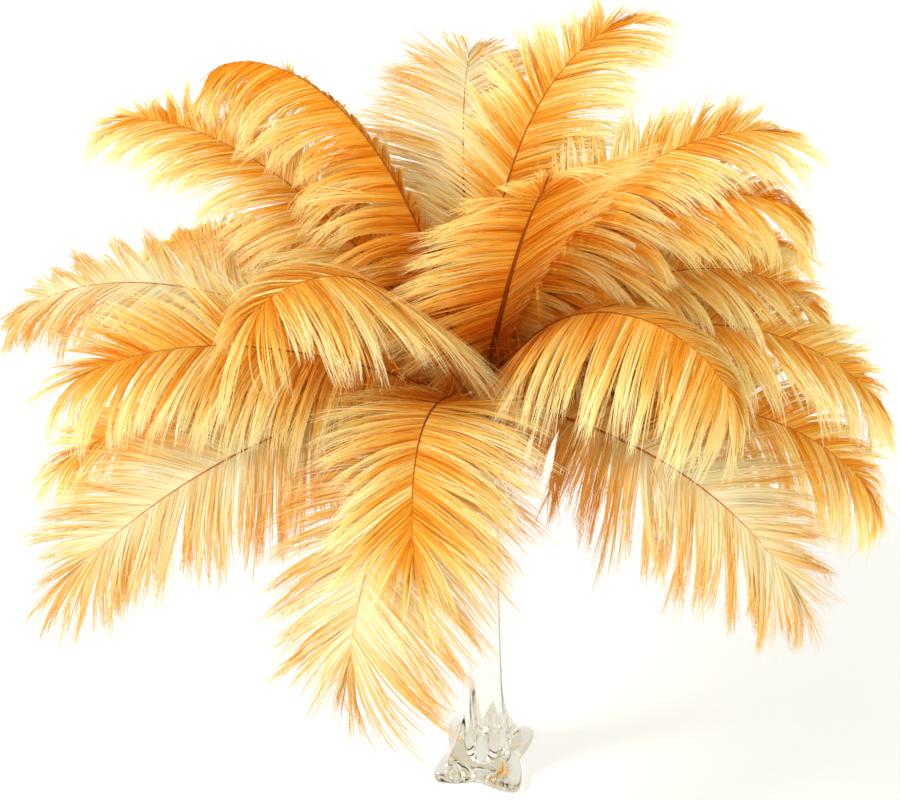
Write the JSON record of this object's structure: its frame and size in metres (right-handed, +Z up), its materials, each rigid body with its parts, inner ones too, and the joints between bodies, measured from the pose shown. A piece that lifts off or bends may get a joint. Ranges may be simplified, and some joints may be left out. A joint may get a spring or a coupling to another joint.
{
  "type": "bunch of ostrich feather plumes in a vase",
  "caption": "Bunch of long orange ostrich plumes spraying out of a tall clear trumpet-shaped glass vase with a four-lobed foot, for a table centrepiece.",
  "frame": {"origin": "middle of the vase's flat underside, on the surface that it stands on", "axes": "+Z up along the vase; the front of the bunch, the side seen in the picture, faces -Y; +X is to the right seen from the front"},
  "size_m": [0.8856, 0.7944, 0.7929],
  "materials": {
    "glass": "clear pressed glass, polished",
    "plume": "dyed feather barbs, deep orange at the root to pale yellow at the tips"
  },
  "bodies": {
    "root": {"vase": "glass", "plume_front_right": "plume", "plume_front": "plume", "plume_front_left_arch": "plume", "plume_left_mid": "plume", "plume_centre": "plume", "plume_left_arch": "plume", "plume_left_high": "plume", "plume_back_upright": "plume", "plume_back_right": "plume", "plume_right_high": "plume", "plume_right_second": "plume", "plume_front_right_low": "plume", "plume_front_low": "plume", "plume_front_left_low": "plume", "plume_left_far": "plume", "plume_left_lower": "plume", "plume_right_shelf": "plume", "plume_right_far": "plume", "plume_right_lower": "plume", "plume_back_far_right": "plume", "plume_back_low_right": "plume", "plume_back_low": "plume", "plume_back_low_left": "plume", "plume_back_far_left": "plume"}
  },
  "joints": []
}
